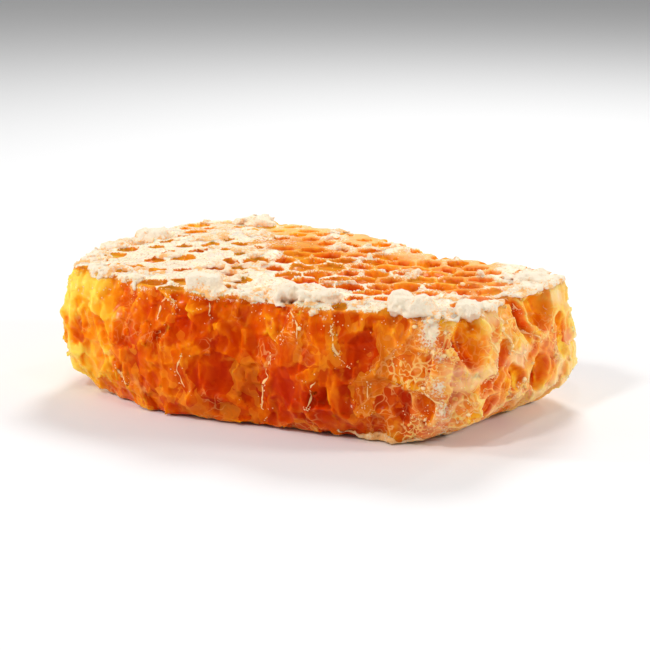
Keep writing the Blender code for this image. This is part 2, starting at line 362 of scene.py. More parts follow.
def comb_shape(x, y, z, side):
    """The comb's signed distance at each place, with the facts that its colours follow."""
    # The walls lean and wander as the knife has dragged them, least at the top face.
    at = (x, y, z)
    calm = 1.0 - 0.7 * ease(17.0, 22.5, z)
    wander_x = 2.2 * cloud(at, 10.0, 1) + 1.3 * cloud(at, 4.6, 2)
    wander_y = 2.2 * cloud(at, 10.0, 3) + 1.3 * cloud(at, 4.6, 4)
    fray = 0.35 * cloud(at, 2.1, 16)
    px, py = x + calm * wander_x + fray, y + calm * wander_y - fray
    rib = z - TIER + 1.6 * cloud(at, 9.0, 5)
    upper_wall, upper_x, upper_y, upper_number = cells(px, py)
    lower_wall, _, _, lower_number = cells(px - HALF_COLUMN, py)
    wall = np.where(rib > 0, upper_wall, lower_wall)
    number = np.where(rib > 0, upper_number, lower_number + 5)
    right = ease(*RIGHT_END, x)
    left = ease(-26.0, -42.0, x)

    # How far the honey stands back behind the cut, in blocks with sharp creases between them.
    shown = ease(-0.45, 0.1, cloud(at, 7.5, 17) + 0.3 * right)
    block_z = z + 1.5 * cloud(at, 8.0, 34)
    edge, block, tilt = facets(px, py, block_z, 4.6, 5.8, 35)
    chance, size = luck(block, 11), luck(block, 12)
    swell = ease(0.0, 2.2, edge)
    block_recess = 0.4 + 0.8 * chance + 0.34 * tilt + (0.9 * size - 0.55) * swell
    wall_depth = (0.1 + 0.4 * luck(number, 13)) * ease(0.1, 1.1, wall) * shown
    recess = block_recess * (0.45 + 0.55 * ease(0.05, 0.6, edge)) + wall_depth
    recess = recess * (1.0 - 0.35 * left) - 1.0 * left * (swell - 0.3)
    chip_x, chip_y = px + 0.5 * cloud(at, 1.9, 47), py + 0.5 * cloud(at, 1.9, 48)
    chip_edge, chip, chip_tilt = facets(chip_x, chip_y, z + fray, 2.1, 2.8, 36)
    chip_level = (luck(chip, 37) - 0.5) * ease(0.0, 0.3, chip_edge)
    recess += (0.27 * chip_tilt + 0.3 * chip_level) * (1.0 - 0.3 * left)
    recess += 0.35 * cloud(at, 6.0, 7)

    # Crumpled membranes: thin curling ridges, thickest round the near corner and the right end.
    tangle = np.clip(1.2 * ease(22.0, 38.0, x + 0.35 * (12.0 - z)) + 0.25, 0.0, 1.0)
    tangle = tangle * ease(-0.35, 0.25, cloud(at, 6.0, 44)) * (z < 22.5)
    curl = 1.0 - ease(0.02, 0.11, abs(cloud(at, 2.7, 43)))
    long_curl = 1.0 - ease(0.01, 0.07, abs(cloud((x, y, 0.7 * z), 5.2, 45)))
    curl = np.maximum(curl * tangle, 0.7 * long_curl * ease(-0.1, 0.4, cloud(at, 8.0, 46)))
    recess -= 0.32 * curl

    # The opened cells: smooth egg-shaped scoops with a thin standing rim.
    rim = np.zeros(x.shape, np.float32)
    pocket_tone_and_shade = np.zeros(x.shape, np.float32)
    within = np.zeros(x.shape, np.float32)
    for (cx, cy, cz, half_width, half_height, depth, lean, darkness), facing in zip(
        POCKETS, pocket_facings
    ):
        near = (abs(x - cx) < 9) & (abs(y - cy) < 9) & (abs(z - cz) < half_height * 1.5)
        dx, dy, dz = x[near] - cx, y[near] - cy, z[near] - cz
        wobble = 0.9 * cloud((x[near], y[near], z[near]), 3.2, 38)
        along = dx * -facing[1] + dy * facing[0] - lean * dz + wobble
        width = half_width * (1.0 + 0.22 * dz / half_height)
        reach = np.sqrt((along / width) ** 2 + ((dz + wobble) / half_height) ** 2)
        bowl = np.sqrt(np.clip(1.0 - reach**2, 0.0, 1.0))
        inside = ease(1.05, 0.8, reach)
        bare = right[near]
        carved = 0.6 * recess[near] + 0.2 + depth * (0.28 + 0.62 * bare) * bowl
        lip = np.exp(-(((reach - 1.05) * half_width / 0.35) ** 2)) * (0.15 + 0.6 * bare)
        recess[near] = (recess[near] * (1.0 - inside) + inside * carved) * (1.0 - 0.6 * lip)
        rim[near] = np.maximum(rim[near], lip)
        # Painted shade: the cell's darkness is painted strongest deep in the scoop and towards its
        # upper side, on top of the cell's own tone.
        shade = darkness * (0.25 + 0.6 * bowl) * (1.0 + 0.6 * dz / half_height)
        pocket_tone_and_shade[near] = np.where(inside > 0.4, shade, pocket_tone_and_shade[near])
        within[near] = np.maximum(within[near], inside)

    # The top face: open cells with sunk honey, and capping wax with torn holes.
    top = z - top_height(x, y)
    open_share = 1.0 - ((upper_x - OPEN_CENTRE[0]) / OPEN_REACH[0]) ** 2
    open_share -= ((upper_y - OPEN_CENTRE[1]) / OPEN_REACH[1]) ** 2
    top_chance, top_level = luck(upper_number, 14), luck(upper_number, 15)
    is_open = open_share > 0.6 * (top_chance - 0.5)
    torn = (~is_open) & (top_chance < 0.72)
    ragged = 0.7 * cloud(at, 1.9, 18) + 0.5 * cloud(at, 4.0, 39)
    open_edge = 0.3 + 0.35 * ragged + 0.5 * (top_level > 0.85)
    open_sink = (0.6 + 1.1 * top_level) * ease(open_edge - 0.2, open_edge + 0.3, upper_wall)
    torn_edge = 0.45 + 1.0 * top_level + 0.8 * ragged
    torn_sink = (0.5 + 0.6 * top_chance) * ease(torn_edge - 0.1, torn_edge + 0.3, upper_wall)
    cap_swell = 0.12 - 0.25 * ease(0.1, 1.6, upper_wall)
    sink = np.where(is_open, open_sink, np.where(torn, torn_sink, cap_swell))
    hole = np.where(is_open, upper_wall > open_edge, torn & (upper_wall > torn_edge))
    patch = wax_patches(at)
    crust = ease(-0.35, 0.35, patch + 0.25 - 0.45 * is_open)
    crumble = cloud(at, 0.95, 20)
    sink = sink + 0.35 * cloud(at, 11.0, 9) + 0.12 * cloud(at, 1.7, 8)
    sink = sink - 0.45 * crust * (0.4 + 0.6 * crumble) * (~hole)
    sink = sink * (1.0 - 0.5 * ease(-2.6, -0.6, side)) + 0.35

    shape = smooth_max(side + recess, top + sink, 0.8)
    under = -z + 0.12 + 0.12 * cloud(at, 4.0, 10)
    shape = smooth_max(shape, under, 0.8)
    facts = dict(
        wall=wall, recess=recess, chance=chance, edge=edge, chip=luck(chip, 41), tilt=tilt,
        curl=curl, tangle=tangle, rim=rim, pocket_tone_and_shade=pocket_tone_and_shade, within=within, top=top, open=is_open,
        hole=hole, top_level=top_level, shown=shown, patch=patch,
    )
    return shape, facts


def surface_net(field):
    """A closed skin of four-sided faces where the field changes sign."""
    inside = field < 0
    count = sum(
        inside[tuple(slice(c, n - 1 + c) for c, n in zip(corner, field.shape))].astype(np.int8)
        for corner in CORNERS
    )
    active = (count > 0) & (count < 8)
    cell = np.argwhere(active)
    number = np.full(active.shape, -1, np.int64)
    number[active] = np.arange(len(cell))
    total = np.zeros((len(cell), 3))
    hits = np.zeros(len(cell))
    for axis, corner in product(range(3), CORNERS):
        if corner[axis]:
            continue
        start = cell + corner
        end = start + np.eye(3, dtype=int)[axis]
        a, b = field[tuple(start.T)], field[tuple(end.T)]
        crosses = (a < 0) != (b < 0)
        point = start.astype(float)
        point[:, axis] += np.where(crosses, a / np.where(crosses, a - b, 1.0), 0.0)
        total[crosses] += point[crosses]
        hits[crosses] += 1
    faces = []
    for axis in range(3):
        below, over = [slice(1, -1)] * 3, [slice(1, -1)] * 3
        below[axis], over[axis] = slice(0, -1), slice(1, None)
        a, b = inside[tuple(below)], inside[tuple(over)]
        edge = np.argwhere(a != b)
        outward = a[tuple(edge.T)]
        ring = []
        for first, second in ((0, 0), (1, 0), (1, 1), (0, 1)):
            beside = edge.copy()
            beside[:, (axis + 1) % 3] += first
            beside[:, (axis + 2) % 3] += second
            ring.append(number[tuple(beside.T)])
        quad = np.stack(ring, axis=1)
        quad[~outward] = quad[~outward][:, ::-1]
        faces.append(quad)
    return grid_low + STEP * total / hits[:, None], np.concatenate(faces)


def parts_of(faces, count):
    """One number for each point, the same for all points of one joined part."""
    part = np.arange(count)
    while True:
        lowest = np.repeat(part[faces].min(axis=1), faces.shape[1])
        joined = part.copy()
        np.minimum.at(joined, faces.ravel(), lowest)
        joined = joined[joined]
        if np.array_equal(joined, part):
            return part
        part = joined


def kept_parts(points, faces, keep):
    """The points and faces of the parts that hold a point to keep."""
    part = parts_of(faces, len(points))
    stays = np.isin(part, part[keep])
    number = np.cumsum(stays) - 1
    return points[stays], number[faces[stays[faces[:, 0]]]]


def grid_places(chosen):
    """The places of the grid where something holds: as indices, and as x, y and z."""
    index = np.nonzero(chosen)
    return index, (gx[index[0], 0, 0], gy[0, index[1], 0], gz[0, 0, index[2]])


def sample(grid, points):
    """The grid's values at the points, worked out between its places."""
    place = np.clip((points - grid_low) / STEP, 0.0, np.array(grid.shape) - 1.001)
    whole = place.astype(np.int64)
    shares = (1.0 - (place - whole), place - whole)
    total = 0.0
    for i, j, k in CORNERS:
        weight = shares[i][:, 0] * shares[j][:, 1] * shares[k][:, 2]
        total = total + weight * grid[whole[:, 0] + i, whole[:, 1] + j, whole[:, 2] + k]
    return total


def mesh_piece(name, points, faces, material):
    """A scene object from points in the slab's own millimetres."""
    placed = points.copy()
    placed[:, :2] += offset
    placed *= MM
    mesh = bpy.data.meshes.new(name)
    mesh.vertices.add(len(placed))
    mesh.vertices.foreach_set("co", placed.astype(np.float32).ravel())
    sides = faces.shape[1]
    mesh.loops.add(faces.size)
    mesh.loops.foreach_set("vertex_index", faces.astype(np.int32).ravel())
    mesh.polygons.add(len(faces))
    mesh.polygons.foreach_set("loop_start", np.arange(0, faces.size, sides, dtype=np.int32))
    mesh.update(calc_edges=True)
    mesh.shade_smooth()
    mesh.materials.append(material)
    piece = bpy.data.objects.new(name, mesh)
    bpy.context.scene.collection.objects.link(piece)
    return piece


def thin_out(piece, limit):
    """Take away faces where the skin is smoothest, down to the limit in triangles."""
    ratio = limit / (2.0 * len(piece.data.polygons))
    if ratio < 1.0:
        fewer = piece.modifiers.new("fewer faces", "DECIMATE")
        fewer.ratio = ratio
        bpy.context.view_layer.update()
        lighter = bpy.data.meshes.new_from_object(
            piece.evaluated_get(bpy.context.evaluated_depsgraph_get())
        )
        piece.modifiers.clear()
        piece.data = lighter
        lighter.shade_smooth()


def points_of(piece):
    """A piece's points in the slab's own millimetres."""
    points = np.zeros(len(piece.data.vertices) * 3, np.float32)
    piece.data.vertices.foreach_get("co", points)
    points = points.reshape(-1, 3) / MM
    points[:, :2] -= offset.astype(np.float32)
    return points


def paint(piece, name, values):
    """Store one number, or one colour, for each point of the mesh."""
    values = np.asarray(values, np.float32)
    if values.ndim == 1:
        layer = piece.data.attributes.new(name, "FLOAT", "POINT")
        layer.data.foreach_set("value", values)
    else:
        layer = piece.data.color_attributes.new(name, "FLOAT_COLOR", "POINT")
        opaque = np.pad(values, ((0, 0), (0, 1)), constant_values=1.0)
        layer.data.foreach_set("color", opaque.ravel())


rings = [side_ring(height) for height in np.linspace(0.0, THICKNESS, LEVELS)]
every = np.concatenate(rings)
outline_middle = (every.min(axis=0) + every.max(axis=0)) / 2
offset = np.array([slab_middle.x, slab_middle.y]) - outline_middle

grid_low = np.array([*(every.min(axis=0) - MARGIN), -MARGIN])
grid_high = np.array([*(every.max(axis=0) + MARGIN), slab_height + MARGIN])
counts = np.ceil((grid_high - grid_low) / STEP).astype(int) + 1
gx, gy, gz = np.ix_(
    *[(low + STEP * np.arange(count)).astype(np.float32) for low, count in zip(grid_low, counts)]
)
by_height = np.stack([ring_distance(ring, gx[:, :, 0], gy[:, :, 0]) for ring in rings], axis=2)
level = np.clip(gz[0, 0] / THICKNESS, 0.0, 1.0) * (len(rings) - 1)
lower_level = np.minimum(level.astype(int), len(rings) - 2)
part = (level - lower_level).astype(np.float32)
side_grid = by_height[:, :, lower_level] * (1.0 - part) + by_height[:, :, lower_level + 1] * part

pocket_facings = []
for pocket in POCKETS:
    spot = np.array([pocket[:3]])
    slope = [
        sample(side_grid, spot + nudge)[0] - sample(side_grid, spot - nudge)[0]
        for nudge in np.eye(3)[:2]
    ]
    pocket_facings.append(np.array(slope) / np.hypot(*slope))

# Only the places near the skin are worked out in full.
plain = np.maximum(np.maximum(side_grid, gz - top_height(gx, gy)), -gz).astype(np.float32)
skin, skin_places = grid_places((plain > SKIN_BAND[0]) & (plain < SKIN_BAND[1]))
comb_field = plain.copy()
comb_field[skin] = comb_shape(*skin_places, side_grid[skin])[0]
comb_points, comb_faces = surface_net(comb_field)
lowest_point = [comb_points[:, 2].argmin()]
comb_points, comb_faces = kept_parts(comb_points, comb_faces, lowest_point)

comb_finish = finish(
    "honey comb",
    Subsurface_Weight=0.85,
    Subsurface_Radius=(1.0, 0.6, 0.35),
    Subsurface_Scale=0.0024,
    Specular_IOR_Level=0.055,
    IOR=1.45,
)
comb = mesh_piece("comb_body", comb_points, comb_faces, comb_finish)
thin_out(comb, FACE_LIMIT)
comb_points = points_of(comb)

# Facts at each point of the skin, for its colours.
at = x, y, z = comb_points.T.copy()
side = sample(side_grid, comb_points).astype(np.float32)
_, fact = comb_shape(x, y, z, side)

# Painted light: the honey is painted yellow at its thin ends and edges, as if light from behind
# shone through it, and deep orange in the slab's thick middle.
HONEY_TONES = np.array(
    [(1, 0.66, 0.1), (0.97, 0.39, 0.01), (0.8, 0.155, 0), (0.66, 0.06, 0), (0.53, 0.025, 0)]
)
SUNK_HONEY = np.array([0.66, 0.26, 0.015])
GOLDEN_WAX = np.array([0.96, 0.4, 0.02])
PALE_WAX = np.array([1.0, 0.53, 0.2])
FILM_WAX = np.array([1.0, 0.66, 0.38])


def blend(first, second, share):
    """Colours mixed point by point: the share runs from 0, all the first, to 1."""
    return first * (1.0 - share[:, None]) + second * share[:, None]


def across_corner(x, y, z):
    """How far each place is from the line that runs down the near corner."""
    return x * 0.89 + y * 0.45 - 20.0 - 0.1 * (THICKNESS - z)


on_top = ease(-1.6, -0.3, fact["top"])
right = ease(*RIGHT_END, x)
# Painted light: the tone falls towards both ends, which are painted yellow as if lit through from
# behind.
from_end = np.minimum(x + 46.0, 1.25 * (47.0 - x))
tone = 0.02 + 0.7 * ease(1.0, 29.0, from_end) + 0.4 * right * (0.22 + 0.78 * ease(14.0, -2.0, y))
# Painted shade: recessed honey and the opened cells are painted darker.
tone += 0.07 * (fact["recess"] - 0.9) + 0.75 * fact["pocket_tone_and_shade"]
tone += 0.09 * cloud(at, 8.0, 21) + 0.05 * cloud(at, 3.5, 24)
tone += 0.12 * (fact["chance"] - 0.5) + 0.05 * fact["tilt"] + 0.08 * (fact["chip"] - 0.5)
inner_x = x + 1.6 * cloud(at, 5.0, 71) + 0.5 * cloud(at, 2.2, 72)
inner_z = z + 1.6 * cloud(at, 5.0, 73) + 0.5 * cloud(at, 2.2, 74)
inner_edge, inner, inner_tilt = facets(inner_x, y, inner_z, 4.0, 5.0, 75)
tone += 0.09 * (luck(inner, 76) - 0.5) + 0.05 * inner_tilt
inner_line = ease(0.3, 0.0, inner_edge)
tone += 0.05 * ease(0.0, 0.5, inner_edge) * ease(1.0, 0.5, inner_edge) - 0.1 * inner_line
# Painted light: the sides are painted lighter near the top, near the foot and towards the back,
# where light from behind shines through, and deeper in the lower middle of the front.
tone -= 0.12 * ease(14.0, 23.0, z) + 0.1 * ease(4.0, 0.5, z) + 0.12 * ease(0.0, 16.0, y)
tone += 0.16 * ease(13.0, 6.0, z) * ease(-20.0, -4.0, x) * ease(32.0, 22.0, x)
amber = cloud(at, 6.0, 31) + 0.4 * cloud(at, 2.6, 32) + 0.25 * ease(13.0, 4.0, z)
tone += 0.27 * ease(0.0, 0.45, amber) * ease(-16.0, -32.0, x)
# Painted light: the top is painted lighter towards the back, where light from behind washes over
# it, and darker in the torn holes as painted shade.
top_tone = 0.5 + 0.1 * cloud(at, 7.0, 25) + 0.15 * (fact["top_level"] - 0.5)
top_tone = top_tone - 0.3 * ease(8.0, 26.0, y) + 0.1 * fact["hole"]
tone = np.where(on_top > 0.5, top_tone, tone)
steps = np.clip(tone, 0.0, 1.0) * (len(HONEY_TONES) - 1)
lower_tone = np.minimum(steps.astype(int), len(HONEY_TONES) - 2)
honey = blend(HONEY_TONES[lower_tone], HONEY_TONES[lower_tone + 1], steps - lower_tone)

off_top = 1.0 - on_top
uncut = 1.0 - fact["within"]
# The darker sunk honey on the top is partly its own colour and partly painted shade: it fades out
# towards the back, where light from behind falls.
sunk = on_top * ease(22.0, 8.0, y) * (0.75 + 0.25 * fact["hole"])
honey = blend(honey, SUNK_HONEY * (0.8 + 0.4 * fact["chance"][:, None]), sunk)
ridge = (1.0 - ease(0.05, 0.35, fact["edge"])) * uncut
side_line = (1.0 - ease(0.1, 0.35, fact["wall"])) * fact["shown"] * uncut
ridge = 0.5 * ridge * ease(-0.2, 0.5, cloud(at, 5.0, 42))
wax = np.maximum(ridge, side_line) * (0.16 + 0.35 * right + 0.2 * cloud(at, 6.0, 22))
wax = np.maximum(wax, fact["rim"] * (0.1 + 0.5 * right))
wax = np.maximum(wax, fact["curl"] * (0.35 + 0.45 * right) * uncut)
peach = 0.22 + 0.25 * ease(-8.0, 6.0, y) + 0.6 * cloud(at, 3.0, 26)
peach = right * uncut * peach
wax = np.maximum(wax, peach) * off_top
back_rim = ease(4.0, 24.0, y + 0.25 * x) * (1.0 - fact["hole"])
top_wax = np.where(fact["hole"], 0.0, 0.4 + 0.5 * back_rim + 0.3 * fact["patch"])
wax = np.clip(np.maximum(wax, top_wax * on_top), 0.0, 1.0)
near_corner = ease(22.0, 30.0, x) * ease(-12.0, -19.0, y) * ease(21.0, 14.0, z)
paleness = np.clip(right + 0.8 * back_rim + 0.35 * on_top, 0.0, 1.0)
wax_colour = blend(GOLDEN_WAX, PALE_WAX, paleness)
film = cloud(at, 4.5, 79) + 0.2 * ease(11.0, 19.0, z) + 0.2 * ease(0.0, 12.0, y)
film = ease(0.1, 0.6, film) * right**2 * off_top * uncut
wax = np.maximum(wax, 0.65 * film)
honey = blend(honey, blend(wax_colour, FILM_WAX, film), wax)
# Torn wax edges, partly real and partly painted glints: pale lines, thickest on the right and
# round the near corner.
torn = right * fact["tangle"] + 0.32 * ease(0.2, 0.6, cloud(at, 5.0, 77))
torn = np.maximum(torn, near_corner * (0.7 + 0.6 * cloud(at, 3.0, 78))) * off_top
torn = np.clip(torn * (1.0 - 0.8 * fact["within"]), 0.0, 1.0)
smear = np.exp(-((across_corner(x, y, z) / 3.6) ** 2)) * (y < -12.0)
smear = smear * (0.38 + 0.17 * ease(11.0, 16.0, z)) * (1.0 - 0.8 * fact["within"])
smear = smear * (1.0 + 0.7 * cloud(at, 2.4, 27))
front_left = ease(6.0, -10.0, y + 0.35 * x)
front_rim = ease(-2.6, -0.5, side) * ease(-2.6, -0.4, fact["top"]) * front_left
cream_corner = ease(32.0, 40.0, x + 0.25 * y)
frost = 0.46 + 0.3 * front_left + 0.36 * cream_corner + 0.3 * fact["patch"]
frost += 0.14 * ease(-5.0, -25.0, x)
frost = np.minimum(frost - 0.06 * fact["open"], 0.62) - 0.5 * fact["hole"]
frost *= on_top
frost = np.maximum(frost, (0.62 * front_rim + 0.25 * cloud(at, 2.5, 28)) * off_top)
thread = side_line * ease(0.15, 0.5, cloud(at, 8.0, 29))
frost = np.maximum(np.maximum(frost, smear), 0.4 * thread * off_top)
frost = np.clip(frost, 0.0, 1.0)
for name, values in dict(honey_colour_and_painted_light=honey, wax=wax, frost=frost, torn=torn).items():
    paint(comb, name, values)


def feed(tree, value, socket):
    """Set a socket to a number or a colour, or link another node's output to it."""
    if isinstance(value, (float, tuple)):
        socket.default_value = value
    else:
        tree.links.new(value, socket)


def add_node(tree, kind, **values):
    """A new shader node with the named inputs set or linked."""
    node = tree.nodes.new("ShaderNode" + kind)
    for name, value in values.items():
        feed(tree, value, node.inputs[name.replace("_", " ")])
    return node


def add_maths(tree, operation, *values, kind="Math"):
    """A node that works on its inputs, each a number or another node's output."""
    node = add_node(tree, kind)
    node.operation = operation
    for value, socket in zip(values, node.inputs):
        feed(tree, value, socket)
    return node.outputs[0]


def add_range(tree, value, low, high, low_out=0.0, high_out=1.0):
    """A node that maps one range of values to another, and stops at its ends."""
    return add_node(
        tree, "MapRange", Value=value, From_Min=low, From_Max=high, To_Min=low_out, To_Max=high_out
    ).outputs["Result"]


def add_mix(tree, share, first, second, blend_type="MIX"):
    """A node that mixes two colours, each given or another node's output."""
    node = add_node(tree, "Mix")
    node.data_type = "RGBA"
    node.blend_type = blend_type
    node.clamp_result = True
    for value, socket in ((share, 0), (first, 6), (second, 7)):
        feed(tree, value, node.inputs[socket])
    return node.outputs[2]


def painted(tree, name, output="Fac"):
    """What was painted on the points of the mesh under a name."""
    node = add_node(tree, "Attribute")
    node.attribute_name = name
    return node.outputs[output]


def object_places(tree):
    """The object's own coordinates."""
    return add_node(tree, "TexCoord").outputs["Object"]


def effect_group(name):
    """A node group with one amount going in and one mask coming out."""
    group = bpy.data.node_groups.new(name, "ShaderNodeTree")
    group.interface.new_socket("Amount", in_out="INPUT", socket_type="NodeSocketFloat")
    group.interface.new_socket("Mask", in_out="OUTPUT", socket_type="NodeSocketFloat")
    amount = group.nodes.new("NodeGroupInput").outputs["Amount"]
    mask = group.nodes.new("NodeGroupOutput").inputs["Mask"]
    return group, object_places(group), amount, mask


def add_effect(tree, group, amount):
    """A node group's mask for an amount."""
    node = add_node(tree, "Group")
    node.node_tree = group
    tree.links.new(amount, node.inputs["Amount"])
    return node.outputs["Mask"]


# Wax grains: the more of it, the more of the random grains join up.
grains, place, amount, mask = effect_group("wax grains")
grain = add_node(grains, "TexNoise", Vector=place, Scale=2300.0, Detail=4.0, Roughness=0.65)
grown = add_maths(grains, "ADD", grain.outputs["Fac"], amount)
grains.links.new(add_range(grains, grown, 0.93, 1.07), mask)

# Torn edges: thin pale lines that curl and cross like crumpled film, and that also stand as
# painted glints on the wet honey.
edges, place, amount, mask = effect_group("torn edges")
lines = []
for scale, width in ((240.0, 0.022), (520.0, 0.034)):
    curls = add_node(edges, "TexNoise", Vector=place, Scale=scale, Detail=1.0, Distortion=0.4)
    off_line = add_maths(edges, "SUBTRACT", curls.outputs["Fac"], 0.5)
    off_line = add_maths(edges, "ABSOLUTE", off_line)
    lines.append(add_range(edges, off_line, 0.3 * width, width, 1.0, 0.0))
both = add_maths(edges, "MAXIMUM", *lines)
edges.links.new(add_maths(edges, "MULTIPLY", both, amount), mask)

# Honey glows from inside and is broken into chips and plates, with raised seams between.
DARK_CHIP = (0.94, 0.63, 0.5, 1.0)
LIGHT_CHIP = (1.02, 1.28, 1.2, 1.0)
AMBER_PLATE = (1.0, 0.42, 0.02, 1.0)
TORN_WAX_AND_GLINT = (1.0, 0.6, 0.19, 1.0)
FROST_WAX = (1.0, 0.78, 0.57, 1.0)
tree = comb_finish.node_tree
inputs = tree.nodes["Principled BSDF"].inputs
place = object_places(tree)
drift = add_node(tree, "TexNoise", Vector=place, Scale=260.0, Detail=2.0).outputs["Color"]
upright = add_maths(tree, "MULTIPLY", place, (1.0, 1.0, 0.6), kind="VectorMath")
drifted = add_maths(tree, "MULTIPLY_ADD", drift, (0.004, 0.004, 0.004), upright, kind="VectorMath")
chips = []
for scale, weight in ((190.0, 0.62), (480.0, 0.38)):
    chip = add_node(tree, "TexVoronoi", Vector=drifted, Scale=scale)
    chips.append(add_maths(tree, "MULTIPLY", chip.outputs["Color"], weight))
chipped = add_maths(tree, "ADD", *chips)
seam = add_node(tree, "TexVoronoi", Vector=drifted, Scale=190.0)
seam.feature = "DISTANCE_TO_EDGE"
seams = add_range(tree, seam.outputs["Distance"], 0.015, 0.06, 1.0, 0.0)
shade = add_mix(tree, add_range(tree, chipped, 0.25, 0.75), DARK_CHIP, LIGHT_CHIP)
waxed = painted(tree, "wax")
clear = add_range(tree, waxed, 0.0, 0.7, 1.0, 0.15)
honey_tint = painted(tree, "honey_colour_and_painted_light", "Color")
honey_tint = add_mix(tree, add_maths(tree, "MULTIPLY", clear, 0.85), honey_tint, shade, "MULTIPLY")
plates = add_maths(tree, "MULTIPLY", add_range(tree, chipped, 0.58, 0.7), clear)
plates = add_maths(tree, "MULTIPLY", plates, 0.35)
honey_tint = add_mix(tree, plates, honey_tint, AMBER_PLATE)
torn_line_and_glint_mask = add_effect(tree, edges, painted(tree, "torn"))
frost_mask = add_effect(tree, grains, painted(tree, "frost"))
edged = add_mix(tree, torn_line_and_glint_mask, honey_tint, TORN_WAX_AND_GLINT)
feed(tree, add_mix(tree, frost_mask, edged, FROST_WAX), inputs["Base Color"])
feed(tree, add_range(tree, waxed, 0.0, 1.0, 0.08, 0.5), inputs["Roughness"])
ripple = add_node(tree, "TexNoise", Vector=place, Scale=900.0, Detail=2.0)
heights = add_maths(tree, "ADD", add_maths(tree, "MULTIPLY", ripple.outputs["Fac"], 0.4), chipped)
heights = add_maths(tree, "ADD", heights, add_maths(tree, "MULTIPLY", seams, 0.25))
chip_bump = add_node(tree, "Bump", Strength=0.26, Distance=0.0005, Height=heights)
raised = add_maths(tree, "ADD", torn_line_and_glint_mask, frost_mask)
bump = add_node(
    tree, "Bump", Strength=0.5, Distance=0.0002, Height=raised, Normal=chip_bump.outputs["Normal"]
)
feed(tree, bump.outputs["Normal"], inputs["Normal"])

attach(comb, "root")
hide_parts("comb")


# ---- The capping crust: crumbled white wax and its lumps ----
# Bees seal each ripe cell with a lid of fresh white wax. Cutting has crumbled the lids into a
# pale crust that clings to the top, swells into lumps at its edges and hangs over the front edge.

# Each lump: how many blobs it has grown from, how square they are, its turn, its fullness and
# how much it has crumbled.
LUMP_FORMS = [
    (1, 5.0, 14.0, 1.05, 0.3),
    (3, 2.1, -3.0, 1.0, 1.0),
    (3, 2.2, 8.0, 1.05, 0.9),
    (1, 2.2, 25.0, 1.0, 0.7),
    (2, 2.0, 60.0, 0.6, 1.0),
    (3, 2.0, -20.0, 0.55, 1.0),
    (2, 2.0, 80.0, 0.75, 1.0),
]
LUMP_MELT = 1.3
CRUST_THICKNESS = 0.6
CRUST_BAND = (-1.3, 1.5)


def smooth_min(a, b, width):
    """The smaller of two distances, rounded where they meet."""
    return -smooth_max(-a, -b, width)


def crust_cover(x, y, z, side):
    """How thickly the wax lies at each place from 0 to 1, and how much honey has soaked it."""
    at = (x, y, z)
    top = z - top_height(x, y)
    ragged = cloud(at, 3.4, 51) + 0.9 * cloud(at, 1.5, 52)
    patch = wax_patches(at)
    front = ease(4.0, -8.0, y + 0.3 * x)
    over = ease(-1.9, -0.9, top + 0.8 * ragged)
    edge_band = ease(-7.0, -3.5, side + 3.0 * ragged) * front * over
    edge_band *= ease(-0.45, 0.0, cloud(at, 5.0, 59) + 0.3 * ragged)
    gaps = np.exp(-(((x + 2.0) / 3.5) ** 2)) + np.exp(-(((x - 18.0) / 3.5) ** 2))
    edge_band *= 1.0 - 0.85 * gaps * (y < -15.0)
    near_top = ease(-1.2, -0.4, top)
    left = ease(12.0, -12.0, x)
    patches = ease(0.3, 0.62, patch + 0.25 * ragged + 0.25 * left - 0.1) * near_top
    right_edge = ease(-7.0, -4.0, side + 2.0 * ragged) * ease(36.0, 41.0, x) * near_top
    fringe = ease(2.6, 1.2, z + 1.5 * ragged) * ease(14.0, 20.0, x) * ease(42.0, 38.0, x)
    fringe = 0.8 * fringe * (y < -10) * ease(-3.0, -1.5, side) * ease(-0.4, 0.3, ragged)
    cover = np.maximum.reduce([edge_band, 0.7 * patches, 0.8 * right_edge, fringe])
    soaked = np.clip(0.85 * fringe + 0.15 * patches, 0.0, 1.0)
    return cover, soaked


close, close_places = grid_places((comb_field > CRUST_BAND[0]) & (comb_field < CRUST_BAND[1]))
cover, _ = crust_cover(*close_places, side_grid[close])
crumble = 1.2 * cloud(close_places, 0.8, 53) + 0.5 * cloud(close_places, 2.0, 54)
thickness = cover * CRUST_THICKNESS * (0.5 + 0.9 * crumble) - 1.4 * ease(0.35, 0.1, cover)
crust_field = np.full(comb_field.shape, 2.0, np.float32)
crust_field[close] = np.maximum(comb_field[close] - thickness, -0.9 - comb_field[close])

random = np.random.default_rng(55)
for number, (blobs, square, turn, fullness, crumbled) in enumerate(LUMP_FORMS, 1):
    box_low, box_high = (np.array(corner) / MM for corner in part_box(f"wax_lump_{number}"))
    middle = (box_low + box_high) / 2 - np.array([offset[0], offset[1], 0.0])
    span = box_high - box_low
    lump = np.full(comb_field.shape, 9.0, np.float32)
    angle = math.radians(turn)
    for blob in range(blobs):
        along = ((blob + 0.5) / blobs - 0.5) * span[0] * 0.8
        radii = span / 2 * np.array([1.5 / blobs if blobs > 1 else 1.0, 1.0, 1.0])
        radii = radii * random.uniform(0.8, 1.1, 3) * [1.0, 1.0, fullness]
        centre = middle + np.array([along, random.uniform(-0.8, 0.8), 0.0])
        centre[2] = box_low[2] + radii[2] * 0.7 - 0.8
        dx, dy, dz = gx - centre[0], gy - centre[1], gz - centre[2]
        turned_x = dx * math.cos(angle) + dy * math.sin(angle)
        turned_y = dy * math.cos(angle) - dx * math.sin(angle)
        parts = zip((turned_x, turned_y, dz), radii)
        reach = sum(abs(part / radius) ** square for part, radius in parts) ** (1.0 / square)
        lump = smooth_min(lump, ((reach - 1.0) * radii.min()).astype(np.float32), LUMP_MELT)
    around, around_places = grid_places(lump < CRUST_BAND[1])
    rough = 0.5 * cloud(around_places, 2.4, 56) + 0.38 * cloud(around_places, 0.85, 57)
    crust_field[around] = smooth_min(
        crust_field[around], lump[around] + crumbled * rough, LUMP_MELT
    )
crust_field = np.maximum(crust_field, 0.05 - gz)

